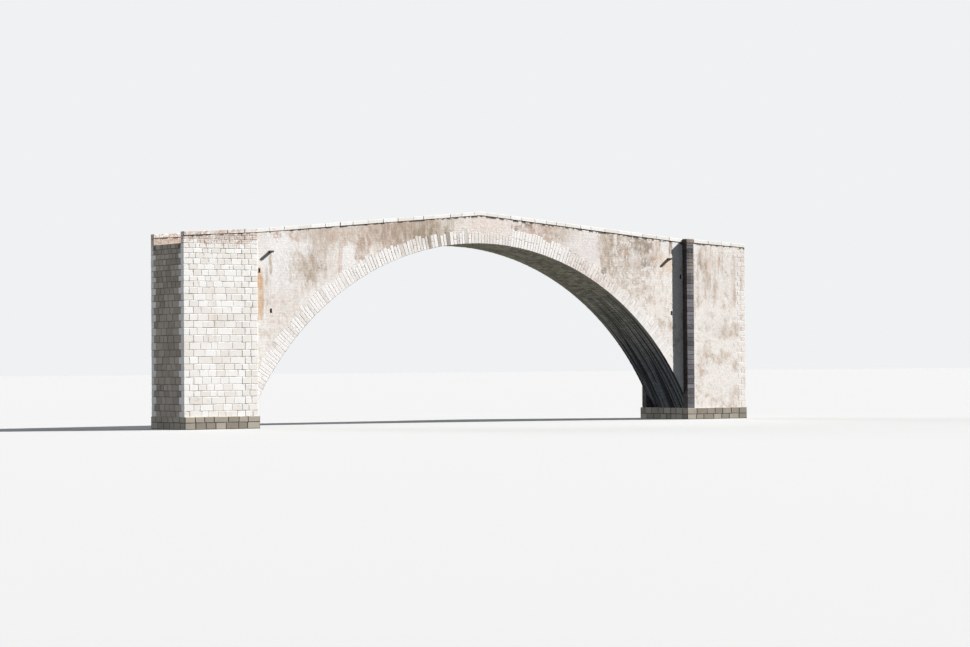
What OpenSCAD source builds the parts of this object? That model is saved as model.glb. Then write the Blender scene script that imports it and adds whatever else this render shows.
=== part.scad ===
// Humpbacked stone arch bridge, at half its real size, in millimetres.
// X runs along the roadway, Y runs across it with the front face at -Y, and Z is up.
// The origin lies under the middle of the arch, level with the feet of the two plinths.

/* [Arch] */
// Clear span between the two springing lines
arch_span = 22825; // [18000:25:26000]
// Height of the crown of the soffit above the springing lines
arch_rise = 7350; // [6000:10:8600]
// Depth of the ring of arch stones, along its radius
ring_depth = 680; // [500:10:850]
// Width of the bridge from spandrel face to spandrel face
bridge_w = 2850; // [2400:10:3600]
// Width of each dressed face ring, across the bridge
face_ring_w = 350; // [200:10:600]

/* [Walls] */
// Thickness of the spandrel walls
spandrel_t = 450; // [300:10:600]
// Thickness of the parapets
parapet_t = 225; // [150:5:280]
// Height of the parapets from the roadway to the coping
parapet_h = 310; // [200:5:500]

/* [Coping] */
// Height of the coping stones
coping_h = 165; // [100:5:220]
// Overhang of the coping past each side of its wall
coping_lip = 25; // [10:5:50]
// Length of the bent coping stone at the crown
crown_stone_l = 620; // [300:10:1000]

/* [Roadway] */
// Height of the roadway over the back of the ring, at the crown
crown_cover = 230; // [210:5:400]
// Thickness of the paving
paving_t = 100; // [60:5:120]
// Fall of the roadway from the crown to each pier
hump_fall = 977; // [400:1:1200]
// Fall of the roadway from each pier to its end
approach_fall = 187; // [0:1:300]

/* [Abutments] */
// Length of each abutment, from the river face of its piers to its end
abutment_l = 3400; // [2400:10:5000]
// How far the river face of the piers stands inside the springing line
pier_lap = 312; // [200:2:500]
// Projection of the two piers at the left end past the spandrel face
left_pier_step = 40; // [40:5:450]
// Projection of the two piers at the right end past the spandrel face
right_pier_step = 300; // [150:5:450]
// Width along the bridge of the two piers at the left end
left_pier_w = 580; // [400:10:1200]
// Width along the bridge of the two piers at the right end
right_pier_w = 400; // [300:10:900]
// How far the wing walls stand back from the faces of the piers
wing_setback = 10; // [10:5:40]

/* [Plinths] */
// Height of the plinths under the springing lines
plinth_h = 500; // [300:10:900]
// Projection of the plinths past the piers
plinth_lip = 60; // [20:5:150]

/* [Spouts] */
// Distance of the water spouts at the left end from the river face of the piers
left_spout_inset = 570; // [300:10:2000]
// Distance of the water spouts at the right end from the river face of the piers
right_spout_inset = 750; // [300:10:2000]
// Depth of the spouts below the roadway
spout_drop = 480; // [250:10:900]
// Projection of the spouts from the wall
spout_out = 220; // [150:10:500]
// Length of the spouts that is built into the wall
spout_seat = 160; // [80:10:260]
// Width of the spouts
spout_w = 130; // [80:5:220]
// Height of the spouts
spout_h = 110; // [70:5:160]
// Width of the channel along the top of the spouts
channel_w = 60; // [30:5:75]
// Depth of the channel along the top of the spouts
channel_d = 40; // [20:5:65]

/* [Weep holes] */
// Width of the weep holes
weep_w = 100; // [50:5:160]
// Height of the weep holes
weep_h = 190; // [80:5:260]
// Depth of the weep holes into the wall
weep_d = 250; // [100:10:290]
// Distance of the upper weep holes from the piers
upper_weep_inset = 70; // [20:5:400]
// Depth of the upper weep holes below the roadway
upper_weep_drop = 1170; // [800:10:1600]
// Distance of the lower weep holes from the piers
lower_weep_inset = 610; // [400:5:700]
// Depth of the lower weep holes below the roadway
lower_weep_drop = 2880; // [1800:10:3200]

/* [Hidden] */
$fn = 720;

// How far a cut runs on past the face that it opens
cut_past = 5;

// Sides of the bridge
LEFT = -1;
RIGHT = 1;
FRONT = -1;
REAR = 1;

// Circle of the arch
half_span = arch_span / 2;
soffit_r = (half_span ^ 2 + arch_rise ^ 2) / (2 * arch_rise);
back_r = soffit_r + ring_depth;
centre_z = plinth_h + arch_rise - soffit_r;
half_angle = asin(half_span / soffit_r);

// Stations along the bridge
pier_x = half_span - pier_lap;
end_x = pier_x + abutment_l;
function pier_w(side) = side == LEFT ? left_pier_w : right_pier_w;
function wing_x(side) = pier_x + pier_w(side);

// Stations across the bridge
face_y = bridge_w / 2;
road_y = face_y - parapet_t;
fill_y = face_y - spandrel_t;
function pier_step(side) = side == LEFT ? left_pier_step : right_pier_step;
function pier_y(side) = face_y + pier_step(side);
function wing_y(side) = pier_y(side) - wing_setback;
function approach_y(side) = wing_y(side) - parapet_t;

// Where a spout stands beside its pier
function spout_inset(side) = side == LEFT ? left_spout_inset : right_spout_inset;

// Levels
road_crown_z = plinth_h + arch_rise + ring_depth + crown_cover;
hump_grade = hump_fall / pier_x;
approach_grade = approach_fall / abutment_l;
function road_z(x) = road_crown_z
    - hump_grade * min(abs(x), pier_x)
    - approach_grade * max(abs(x) - pier_x, 0);
to_bed = -paving_t;
to_coping = parapet_h;
to_top = parapet_h + coping_h;

// Where a band along the road starts, bends and ends
function stations(x0, x1) = x0 < pier_x && pier_x < x1 ? [x0, pier_x, x1] : [x0, x1];
function backwards(list) = [for (i = [len(list) - 1 : -1 : 0]) list[i]];
function road_line(xs, rise) = [for (x = xs) [x, road_z(x) + rise]];

// Strip that follows the road from x0 to x1, between two heights above it
module road_strip(x0, x1, low, high) {
    xs = stations(x0, x1);
    polygon(concat(road_line(xs, low), backwards(road_line(xs, high))));
}

// Wall from the springing level up to a height above the road
module wall_to_road(x0, x1, high) {
    xs = stations(x0, x1);
    polygon(concat([[x1, plinth_h], [x0, plinth_h]], road_line(xs, high)));
}

// Elevation drawn in X and Z, made solid from y0 to y1
module across(y0, y1) {
    translate([0, y1, 0]) rotate([90, 0, 0]) linear_extrude(y1 - y0) children();
}

// Shapes are drawn at the rear right and mirrored to their place
module placed(end, face = REAR) {
    mirror([end == LEFT ? 1 : 0, 0, 0])
        mirror([0, face == FRONT ? 1 : 0, 0])
            children();
}

// Half of the ring of the arch, from the springing to the crown, between y0 and y1
module half_ring(y0, y1) {
    translate([0, 0, centre_z]) rotate([90, 0, 0]) rotate([0, 0, 90 - half_angle])
        rotate_extrude(angle = half_angle)
            translate([soffit_r, -y1]) square([ring_depth, y1 - y0]);
}

module ring(y0, y1) {
    for (end = [LEFT, RIGHT]) placed(end) half_ring(y0, y1);
}

// Room that the walls leave for the arch, with its back drawn to meet the pier face
module arch_seat() {
    reach = 2 * back_r;
    side = reach * sin(half_angle);
    foot = reach * cos(half_angle);
    across(-face_y, face_y) translate([0, centre_z]) intersection() {
        rotate(90 - asin(pier_x / back_r)) circle(back_r);
        polygon([[0, 0], [side, foot], [side, reach], [-side, reach], [-side, foot]]);
    }
}

module plinth(end) {
    out_y = pier_y(end) + plinth_lip;
    color("darkgray") placed(end)
        translate([pier_x - plinth_lip, -out_y, 0])
            cube([abutment_l + plinth_lip, 2 * out_y, plinth_h]);
}

module vault() {
    inner_y = face_y - face_ring_w;
    color("dimgray") ring(-inner_y, inner_y);
}

module face_ring(face) {
    color("white") placed(RIGHT, face) ring(face_y - face_ring_w, face_y);
}

module abutment(end) {
    color("gray") placed(end) difference() {
        across(-road_y, road_y) wall_to_road(pier_x, end_x, to_bed);
        arch_seat();
    }
}

module haunch_fill(end) {
    color("rosybrown") placed(end) difference() {
        across(-fill_y, fill_y) wall_to_road(0, pier_x, to_bed);
        arch_seat();
    }
}

// Block whose top corner nearest the pier lies inset from it and drop below the road
module beside_pier(inset, drop, w, depth, h) {
    x = pier_x - inset;
    translate([x - w, face_y - depth, road_z(x) - drop - h])
        cube([w, depth + cut_past, h]);
}

module weep_holes() {
    beside_pier(upper_weep_inset, upper_weep_drop, weep_w, weep_d, weep_h);
    beside_pier(lower_weep_inset, lower_weep_drop, weep_w, weep_d, weep_h);
}

module spandrel(end, face) {
    color("linen") placed(end, face) difference() {
        across(fill_y, face_y) wall_to_road(0, pier_x, to_bed);
        arch_seat();
        weep_holes();
        beside_pier(spout_inset(end), spout_drop, spout_w, spout_seat, spout_h);
    }
}

module pier(end, face) {
    color("lightgray") placed(end, face) difference() {
        across(road_y, pier_y(end)) wall_to_road(pier_x, wing_x(end), to_coping);
        arch_seat();
    }
}

module wing_wall(end, face) {
    color("snow") placed(end, face) difference() {
        union() {
            across(road_y, wing_y(end)) wall_to_road(wing_x(end), end_x, to_bed);
            across(approach_y(end), wing_y(end))
                wall_to_road(wing_x(end), end_x, to_coping);
        }
        arch_seat();
    }
}

module roadway(end) {
    color("tan") placed(end) {
        across(-road_y, road_y) road_strip(0, wing_x(end), to_bed, 0);
        across(-approach_y(end), approach_y(end))
            road_strip(wing_x(end), end_x, to_bed, 0);
    }
}

module parapet(end, face) {
    color("antiquewhite") placed(end, face)
        across(road_y, face_y) road_strip(0, pier_x, to_bed, to_coping);
}

// Coping from x0 to x1 over a wall between y0 and y1
module coping_over(x0, x1, y0, y1) {
    across(y0 - coping_lip, y1 + coping_lip) road_strip(x0, x1, to_coping, to_top);
}

module coping(end, face) {
    color("ivory") placed(end, face)
        coping_over(crown_stone_l / 2, pier_x - coping_lip, road_y, face_y);
}

module crown_coping(face) {
    color("ivory") placed(RIGHT, face)
        for (end = [LEFT, RIGHT])
            placed(end) coping_over(0, crown_stone_l / 2, road_y, face_y);
}

module wing_coping(end, face) {
    color("ivory") placed(end, face)
        coping_over(wing_x(end) + coping_lip, end_x, approach_y(end), wing_y(end));
}

module pier_cap(end, face) {
    color("silver") placed(end, face)
        coping_over(pier_x - coping_lip, wing_x(end) + coping_lip, road_y, pier_y(end));
}

// Corbelled stone trough, drawn from the side with its seat at negative x
module spout_profile() {
    polygon([
        [-spout_seat, 0], [spout_out * 0.4, 0], [spout_out, spout_h * 0.4],
        [spout_out, spout_h], [-spout_seat, spout_h]
    ]);
}

module spout(end, face) {
    x = pier_x - spout_inset(end);
    color("slategray") placed(end, face)
        translate([x, face_y, road_z(x) - spout_drop - spout_h]) difference() {
            rotate([90, 0, 90]) translate([0, 0, -spout_w])
                linear_extrude(spout_w) spout_profile();
            translate([-(spout_w + channel_w) / 2, -spout_seat / 2, spout_h - channel_d])
                cube([channel_w, spout_out + spout_seat, channel_d + cut_past]);
        }
}

plinth(LEFT);  // plinth_left
plinth(RIGHT);  // plinth_right
vault();
face_ring(FRONT);  // face_ring_front
face_ring(REAR);  // face_ring_rear
abutment(LEFT);  // abutment_left
abutment(RIGHT);  // abutment_right
haunch_fill(LEFT);  // haunch_fill_left
haunch_fill(RIGHT);  // haunch_fill_right
spandrel(LEFT, FRONT);  // spandrel_front_left
spandrel(RIGHT, FRONT);  // spandrel_front_right
spandrel(LEFT, REAR);  // spandrel_rear_left
spandrel(RIGHT, REAR);  // spandrel_rear_right
pier(LEFT, FRONT);  // pier_front_left
pier(RIGHT, FRONT);  // pier_front_right
pier(LEFT, REAR);  // pier_rear_left
pier(RIGHT, REAR);  // pier_rear_right
wing_wall(LEFT, FRONT);  // wing_wall_front_left
wing_wall(RIGHT, FRONT);  // wing_wall_front_right
wing_wall(LEFT, REAR);  // wing_wall_rear_left
wing_wall(RIGHT, REAR);  // wing_wall_rear_right
roadway(LEFT);  // roadway_left
roadway(RIGHT);  // roadway_right
parapet(LEFT, FRONT);  // parapet_front_left
parapet(RIGHT, FRONT);  // parapet_front_right
parapet(LEFT, REAR);  // parapet_rear_left
parapet(RIGHT, REAR);  // parapet_rear_right
coping(LEFT, FRONT);  // coping_front_left
coping(RIGHT, FRONT);  // coping_front_right
coping(LEFT, REAR);  // coping_rear_left
coping(RIGHT, REAR);  // coping_rear_right
crown_coping(FRONT);  // crown_coping_front
crown_coping(REAR);  // crown_coping_rear
wing_coping(LEFT, FRONT);  // wing_coping_front_left
wing_coping(RIGHT, FRONT);  // wing_coping_front_right
wing_coping(LEFT, REAR);  // wing_coping_rear_left
wing_coping(RIGHT, REAR);  // wing_coping_rear_right
pier_cap(LEFT, FRONT);  // pier_cap_front_left
pier_cap(RIGHT, FRONT);  // pier_cap_front_right
pier_cap(LEFT, REAR);  // pier_cap_rear_left
pier_cap(RIGHT, REAR);  // pier_cap_rear_right
spout(LEFT, FRONT);  // spout_front_left
spout(RIGHT, FRONT);  // spout_front_right
spout(LEFT, REAR);  // spout_rear_left
spout(RIGHT, REAR);  // spout_rear_right
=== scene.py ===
import math
from collections import namedtuple

import bmesh
import bpy
import numpy as np
from mathutils import Matrix, Vector, noise


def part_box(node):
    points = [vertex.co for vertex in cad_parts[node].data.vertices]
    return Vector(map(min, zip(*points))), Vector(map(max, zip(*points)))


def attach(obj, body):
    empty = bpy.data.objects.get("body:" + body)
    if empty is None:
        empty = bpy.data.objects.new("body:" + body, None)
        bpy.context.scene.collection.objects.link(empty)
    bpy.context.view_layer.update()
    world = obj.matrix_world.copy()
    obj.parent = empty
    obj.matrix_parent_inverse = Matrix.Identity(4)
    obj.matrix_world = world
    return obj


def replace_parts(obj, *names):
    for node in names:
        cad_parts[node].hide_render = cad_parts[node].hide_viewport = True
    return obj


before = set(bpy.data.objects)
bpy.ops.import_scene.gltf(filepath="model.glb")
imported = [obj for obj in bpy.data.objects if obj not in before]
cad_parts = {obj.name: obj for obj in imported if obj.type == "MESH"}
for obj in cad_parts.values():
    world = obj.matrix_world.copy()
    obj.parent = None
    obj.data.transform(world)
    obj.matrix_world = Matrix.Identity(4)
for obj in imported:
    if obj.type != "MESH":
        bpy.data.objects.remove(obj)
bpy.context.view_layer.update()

dice = np.random.default_rng(1341)

ENDS = LEFT, RIGHT = (-1, 1)
FACES = FRONT, REAR = (-1, 1)
END_NAMES = {LEFT: "left", RIGHT: "right"}
FACE_NAMES = {FRONT: "front", REAR: "rear"}


def side_name(face, end):
    return FACE_NAMES[face] + "_" + END_NAMES[end]


def high_at(name, end):
    """Highest corner of the rear right half of a part, measured outward from the middle of the bridge."""
    low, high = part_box(name + END_NAMES[end])
    return Vector((max(-low.x, high.x), high.y, high.z))


# Sizes of the bridge in metres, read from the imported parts
ring_low, ring_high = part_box("face_ring_front")
spandrel_low, spandrel_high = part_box("spandrel_front_right")
parapet_low, parapet_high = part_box("parapet_front_right")
road_low, road_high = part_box("roadway_right")
crown_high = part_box("crown_coping_front")[1]

PLINTH_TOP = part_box("plinth_right")[1].z
PLINTH_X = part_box("plinth_right")[0].x
PLINTH_Y = {end: high_at("plinth_", end).y for end in ENDS}
PIER_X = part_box("pier_front_right")[0].x
PIER_Y = {end: high_at("pier_rear_", end).y for end in ENDS}
WING_X = {end: high_at("pier_rear_", end).x for end in ENDS}
WING_Y = {end: high_at("wing_wall_rear_", end).y for end in ENDS}
END_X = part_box("wing_wall_rear_right")[1].x
FACE_Y = -spandrel_low.y
ROAD_Y = -parapet_high.y
RING_W = ring_high.y - ring_low.y
PARAPET_T = FACE_Y - ROAD_Y
APPROACH_Y = {end: WING_Y[end] - PARAPET_T for end in ENDS}
LIP = crown_high.y + ROAD_Y
CROWN_HALF = crown_high.x

# The arch: the back of the ring passes through its crown and the foot of the spandrel
drop_to_pier = ring_high.z - spandrel_low.z
BACK_R = (PIER_X ** 2 + drop_to_pier ** 2) / (2 * drop_to_pier)
CENTRE_Z = ring_high.z - BACK_R
HALF_ANGLE = math.asin(ring_high.x / BACK_R)
SOFFIT_R = (PLINTH_TOP - CENTRE_Z) / math.cos(HALF_ANGLE)

# The roadway and what stands on it, as heights over the road
ROAD_CROWN = road_high.z
PAVING = ROAD_CROWN - spandrel_high.z
HUMP_FALL = ROAD_CROWN - PAVING - parapet_low.z
APPROACH_FALL = ROAD_CROWN - PAVING - HUMP_FALL - road_low.z
TO_COPING = parapet_high.z - ROAD_CROWN
TO_TOP = crown_high.z - ROAD_CROWN
COPING_H = TO_TOP - TO_COPING


def road(x):
    """Height of the roadway at x."""
    past_pier = max(abs(x) - PIER_X, 0)
    on_hump = HUMP_FALL * min(abs(x) / PIER_X, 1)
    return ROAD_CROWN - on_hump - APPROACH_FALL * past_pier / (END_X - PIER_X)


def arc_height(x, radius):
    """Height at x of a circle about the centre of the arch."""
    return CENTRE_Z + math.sqrt(max(radius ** 2 - x ** 2, 0))


# Blocks of stone

# Share of a unit block that its chamfers take, and the most that they take of half a stone
CUT = 0.2
MOST_CUT = 0.45
# Most that a corner moves, as a share of half a stone
MOST_SHIFT = 0.25
# How far a face tilts and swells, as shares of the roughness
TILT = 0.4
SWELL = 0.8


class Block:
    """A unit stone from -1 to 1, with its face at the top, that is fitted to every stone of a wall."""

    def __init__(self, closed=False, halved=False):
        bm = bmesh.new()
        bmesh.ops.create_cube(bm, size=2.0)
        if halved:
            flat = [e for e in bm.edges if abs(e.verts[0].co.z - e.verts[1].co.z) < 0.1]
            bmesh.ops.subdivide_edges(bm, edges=flat, cuts=1, use_grid_fill=True)
        if not closed:
            back = [f for f in bm.faces if all(v.co.z < -0.9 for v in f.verts)]
            bmesh.ops.delete(bm, geom=back, context="FACES_ONLY")
        sharp = [e for e in bm.edges if self.is_arris(e, closed)]
        bmesh.ops.bevel(
            bm, geom=sharp, offset=CUT, offset_type="OFFSET", segments=1, profile=0.5,
            affect="EDGES", material=-1)
        bm.verts.index_update()
        self.points = np.array([v.co for v in bm.verts])
        self.faces = [[v.index for v in f.verts] for f in bm.faces]
        bm.free()

    @staticmethod
    def is_arris(edge, closed):
        """Whether an edge of the cube is one of those that are chamfered."""
        a, b = edge.verts[0].co, edge.verts[1].co
        at_edge = sum(abs(a[i]) > 0.9 and abs(b[i]) > 0.9 and a[i] * b[i] > 0 for i in range(3))
        on_back = a.z < -0.9 and b.z < -0.9
        return at_edge == 2 and (closed or not on_back)


PLAIN = Block()
ROUGH = Block(halved=True)
WHOLE = Block(closed=True)


class Stones(list):
    """Stones of one wall, each as the corners of its face, outward direction, depth, height and tone."""

    def add(self, corners, outward, depth, proud, tone=None):
        """Adds a stone, and turns its corners so that they run round its outward direction."""
        corners = [Vector(c) for c in corners]
        turn = (corners[1] - corners[0]).cross(corners[3] - corners[0])
        if turn.dot(Vector(outward)) < 0:
            corners = [corners[1], corners[0], corners[3], corners[2]]
        tone = dice.uniform() if tone is None else tone
        self.append((corners, Vector(outward).normalized(), depth, proud, tone))

    def lay(self, place, sides, heights, outward, depth, proud, tone=None):
        """Adds a stone between two sides and two heights, which place turns into points."""
        (left, right), (low, high) = sides, heights
        corners = [place(left, low), place(right, low), place(right, high), place(left, high)]
        self.add(corners, outward, depth, proud, tone)


def keep_edge(unit, half, chamfer):
    """Moves a unit coordinate so that its chamfer has the same real width on a stone of any size."""
    share = np.minimum(chamfer / half, MOST_CUT)
    inset = 1 - np.abs(unit)
    near = inset * share / CUT
    far = share + (inset - CUT) * (1 - share) / (1 - CUT)
    return np.sign(unit) * (1 - np.where(inset <= CUT, near, far))


def fitted(block, stones, chamfer, rough):
    """Points of the block fitted to every stone, with faces that lie a little unevenly."""
    corners, outward, depth, proud, _ = (np.array(part) for part in zip(*stones))
    count = len(corners)
    along = (corners[:, 1] + corners[:, 2] - corners[:, 0] - corners[:, 3]) / 2
    up = (corners[:, 2] + corners[:, 3] - corners[:, 0] - corners[:, 1]) / 2
    half_u = np.linalg.norm(along, axis=1) / 2
    half_v = np.linalg.norm(up, axis=1) / 2
    along /= 2 * half_u[:, None]
    up /= 2 * half_v[:, None]
    reach = np.minimum(np.minimum(half_u, half_v) * MOST_SHIFT, rough)[:, None]
    for way in (along, up):
        corners = corners + way[:, None] * (dice.uniform(-1, 1, (count, 4)) * reach)[..., None]

    u = keep_edge(block.points[None, :, 0], half_u[:, None], chamfer)
    v = keep_edge(block.points[None, :, 1], half_v[:, None], chamfer)
    w = block.points[None, :, 2]
    weights = np.stack([(1 - u) * (1 - v), (1 + u) * (1 - v), (1 + u) * (1 + v), (1 - u) * (1 + v)], -1) / 4
    points = np.einsum("nvk,nkc->nvc", weights, corners)

    bow = dice.uniform(-1, 1, (count, 4)) * reach
    side = np.where(u > 0, bow[:, :1], bow[:, 1:2]) * u * (1 - v ** 2)
    course = np.where(v > 0, bow[:, 2:3], bow[:, 3:]) * v * (1 - u ** 2)
    points += along[:, None] * side[..., None] + up[:, None] * course[..., None]

    tilt = np.einsum("nvk,nk->nv", weights, dice.uniform(-1, 1, (count, 4))) * rough * TILT
    belly = dice.uniform(0, 1, (count, 1)) * rough * SWELL * (1 - u ** 2) * (1 - v ** 2)
    front = proud[:, None] + tilt + belly
    back = -depth[:, None] * np.ones_like(w)
    height = np.select(
        [w > 0.99, w > 0, w > -0.99], [front, front - chamfer, back + chamfer], back)
    return points + outward[:, None] * height[..., None]


def put(name, data):
    """Adds an object to the scene."""
    made = bpy.data.objects.new(name, data)
    bpy.context.scene.collection.objects.link(made)
    return made


def finished(name, mesh, tones, material):
    """Makes a mesh a piece of the bridge, with a tone at each point and its finish."""
    tone = mesh.attributes.new("tone", "FLOAT", "POINT")
    tone.data.foreach_set("value", np.array(tones, np.float32))
    mesh.materials.append(material)
    piece = put(name, mesh)
    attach(piece, "root")
    return piece


def masonry_piece(name, stones, cut, material):
    """Lays all the stones of a wall as one piece, cut as a block with a chamfer and a roughness."""
    block, chamfer, rough = cut
    points = fitted(block, stones, chamfer, rough)
    count, size = points.shape[:2]
    faces = [[i + n * size for i in face] for n in range(count) for face in block.faces]
    mesh = bpy.data.meshes.new(name)
    mesh.from_pydata(points.reshape(-1, 3).tolist(), [], faces)
    return finished(name, mesh, np.repeat([stone[-1] for stone in stones], size), material)


# Coursing

THINNEST = 0.02
HALVINGS = 12
# How near upright joints in neighbouring courses may be, as a share of the shortest stone, and how far
# a nearer one is moved, in times that distance
JOINT_SHIFT = 0.25
JOINT_MOVE = 1.4
COURSE_SPREAD = (0.86, 1.14)


def cut_up(low, high, shortest, longest, below=()):
    """Ends of uneven lengths that fill low to high, moved off the joints of the course below."""
    count = max(1, round((high - low) * 2 / (shortest + longest)))
    lengths = dice.uniform(shortest, longest, count)
    ends = low + np.concatenate([[0], np.cumsum(lengths)]) * (high - low) / lengths.sum()
    clear = shortest * JOINT_SHIFT
    for i in range(1, count):
        if any(abs(ends[i] - other) < clear for other in below):
            ends[i] += clear * JOINT_MOVE
    return ends


def pairs(ends):
    return list(zip(ends[:-1], ends[1:]))


def courses(low, high, first, last, bend=1):
    """Courses whose height goes from first at the foot to last at the head, mostly near the head if bent."""
    ends = [low]
    while ends[-1] < high:
        share = ((ends[-1] - low) / (high - low)) ** bend
        ends.append(ends[-1] + (first + (last - first) * share) * dice.uniform(*COURSE_SPREAD))
    if high - ends[-2] < last / 2:
        ends.pop()
    ends[-1] = high
    return pairs(ends)


def clear_of(a, b, low, high, holes):
    """Parts of a stone from a to b that miss the holes in its course."""
    parts = [(a, b)]
    for x0, x1, z0, z1 in holes:
        if z1 <= low or z0 >= high:
            continue
        left = [(p, min(q, x0)) for p, q in parts if p < x0]
        right = [(max(p, x1), q) for p, q in parts if q > x1]
        parts = left + right
    return parts


def trimmed(a, b, low, high, floor, roof):
    """Ends and heights of a stone between the lines floor and roof, or None if nothing is left."""
    def gap(x):
        return min(high, roof(x)) - max(low, floor(x))

    if gap(a) < THINNEST and gap(b) < THINNEST:
        return None
    for _ in range(HALVINGS):
        middle = (a + b) / 2
        if gap(a) >= THINNEST and gap(b) >= THINNEST:
            break
        if gap(middle) < THINNEST:
            a, b = (middle, b) if gap(b) >= THINNEST else (a, middle)
        elif gap(a) < THINNEST:
            a += (middle - a) / 2
        else:
            b -= (b - middle) / 2
    return a, b, max(low, floor(a)), min(high, roof(a)), max(low, floor(b)), min(high, roof(b))


# How a wall is laid: lengths of its stones as multiples of the course, width of the joints, depth and
# height of the stones, and width of the upright joints as a share of the others
Bond = namedtuple("Bond", "lengths joint depth proud tight", defaults=[1.0])


def nothing_below(x):
    return -math.inf


def nothing_above(x):
    return math.inf


def lay_courses(place, outward, rows, ends, bond, floor=nothing_below, roof=nothing_above, holes=()):
    """Stones in each row between ends. place turns a length and a height into a point."""
    stones = Stones()
    below = ()
    g = bond.joint / 2
    for row, (low, high) in enumerate(rows):
        start, stop = ends(row) if callable(ends) else ends
        shortest, longest = (share * (high - low) for share in bond.lengths)
        below = cut_up(start, stop, shortest, longest, below)
        for a, b in pairs(below):
            for p, q in clear_of(a, b, low, high, holes):
                fit = trimmed(p, q, low, high, floor, roof)
                if fit is None or fit[1] - fit[0] < 3 * bond.joint:
                    continue
                p, q, low_p, high_p, low_q, high_q = fit
                p += g * bond.tight
                q -= g * bond.tight
                ring = ((p, low_p + g), (q, low_q + g), (q, high_q - g), (p, high_p - g))
                corners = [place(*corner) for corner in ring]
                proud = bond.proud((p + q) / 2, (low + high) / 2) if callable(bond.proud) else bond.proud
                stones.add(corners, outward, bond.depth, proud)
    return stones


def under_render(x, z):
    """Height of a stone on a wall where patches of render still hide most of the joints."""
    return 0.0004 + 0.0026 * max(0, noise.noise(Vector((x * 0.5, z * 0.8, 3))) + 0.05)


# Colours as the eye sees them, turned into the shader's own

def colour(red, green, blue):
    def linear(value):
        value /= 255
        return value / 12.92 if value <= 0.04045 else ((value + 0.055) / 1.055) ** 2.4
    return (linear(red), linear(green), linear(blue), 1.0)


LIME = colour(254, 251, 249)
CREAM = colour(251, 245, 239)
PINK = colour(242, 225, 216)
PALE = colour(241, 233, 231)
TAN = colour(208, 189, 172)
BROWN = colour(182, 161, 144)
OLIVE = colour(170, 157, 132)
GREY_BROWN = colour(168, 156, 145)
ROSE_BROWN = colour(212, 186, 172)
RUST = colour(208, 172, 148)
OCHRE = colour(240, 218, 196)
DEEP_OCHRE = colour(216, 178, 142)
# Soot, and also painted shade under the coping, inside holes and on the shaded side of the right piers
SOOT_AND_SHADE = colour(66, 59, 53)
DAMP_BLACK = colour(20, 19, 21)


# Shader nodes

# The three parts of a vector, in the bridge's own directions
ALONG, ACROSS, UP = range(3)


class Level:
    """A value, a vector or a colour that changes over a surface. Sums with it become nodes."""

    def __init__(self, socket):
        self.socket = socket
        self.tree = socket.id_data

    def __add__(self, other):
        return calc("ADD", self, other)

    def __sub__(self, other):
        return calc("SUBTRACT", self, other)

    def __rsub__(self, other):
        return calc("SUBTRACT", other, self)

    def __mul__(self, other):
        return calc("MULTIPLY", self, other)

    def __truediv__(self, other):
        return calc("DIVIDE", self, other)

    def held(self):
        """The same sum, held between nothing and one."""
        self.socket.node.use_clamp = True
        return self

    def scaled(self, scale):
        return Level(node("VectorMath", self, Scale=scale, operation="SCALE").outputs[0])

    def length(self):
        return Level(node("VectorMath", self, operation="LENGTH").outputs["Value"])

    def parts(self):
        """Its parts along the bridge, across it and up."""
        return [Level(part) for part in node("SeparateXYZ", self).outputs]

    def span(self, low, high, start=0.0, stop=1.0):
        """Turns low to high into start to stop with soft ends, and holds it there."""
        made = node("MapRange", self, low, high, start, stop, interpolation_type="SMOOTHSTEP")
        return Level(made.outputs[0])

    def clouds(self, scale, detail, roughness=0.55, output="Fac"):
        made = node("TexNoise", Vector=self, Scale=scale, Detail=detail, Roughness=roughness)
        return Level(made.outputs[output])

    def effect(self, name, output="Mask", **values):
        """Places one of the shared effects on these coordinates and gives one of its outputs."""
        made = node("Group", node_tree=bpy.data.node_groups[name], Vector=self, **values)
        return Level(made.outputs[output])


def node(kind, *links, tree=None, **values):
    """Adds a node where its inputs are. Names in lower case are its settings, and the others its inputs."""
    settings = {key: value for key, value in values.items() if key.islower()}
    inputs = dict(enumerate(links)) | {key: values[key] for key in values if key not in settings}
    tree = tree or next(value.tree for value in inputs.values() if isinstance(value, Level))
    made = tree.nodes.new("ShaderNode" + kind)
    for key, value in settings.items():
        setattr(made, key, value)
    for key, value in inputs.items():
        join(value, made.inputs[key])
    return made


def join(value, socket):
    """Links a level to an input, or writes a plain value there."""
    if isinstance(value, Level):
        value.tree.links.new(value.socket, socket)
    else:
        socket.default_value = value


def calc(operation, *values):
    """Result of a Math node, or of a Vector Math node where the level is a vector or a colour."""
    level = next(value for value in values if isinstance(value, Level))
    kind = "Math" if level.socket.type == "VALUE" else "VectorMath"
    return Level(node(kind, *values, operation=operation).outputs[0])


def mixed(share, first, second, blend="MIX"):
    tree = next(value.tree for value in (share, first, second) if isinstance(value, Level))
    made = node("Mix", tree=tree, data_type="RGBA", blend_type=blend)
    for socket, value in ((0, share), (6, first), (7, second)):
        join(value, made.inputs[socket])
    return Level(made.outputs[2])


def make_group(recipe, outputs=("Mask",), name=None, **inputs):
    """Makes a shader node group: recipe turns Vector and the other inputs into its outputs."""
    tree = bpy.data.node_groups.new(name or recipe.__name__, "ShaderNodeTree")
    sockets = [(label, "INPUT", value) for label, value in {"Vector": None, **inputs}.items()]
    sockets += [(label, "OUTPUT", 0.0) for label in outputs]
    for label, way, value in sockets:
        kind = "Vector" if value is None else "Color" if label == "Colour" else "Float"
        socket = tree.interface.new_socket(name=label, in_out=way, socket_type="NodeSocket" + kind)
        if value:
            socket.default_value = value
    given = tree.nodes.new("NodeGroupInput").outputs
    out = tree.nodes.new("NodeGroupOutput").inputs
    results = recipe(*(Level(given[label]) for label in ("Vector", *inputs)))
    for label, result in zip(outputs, results):
        join(result, out[label])


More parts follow.
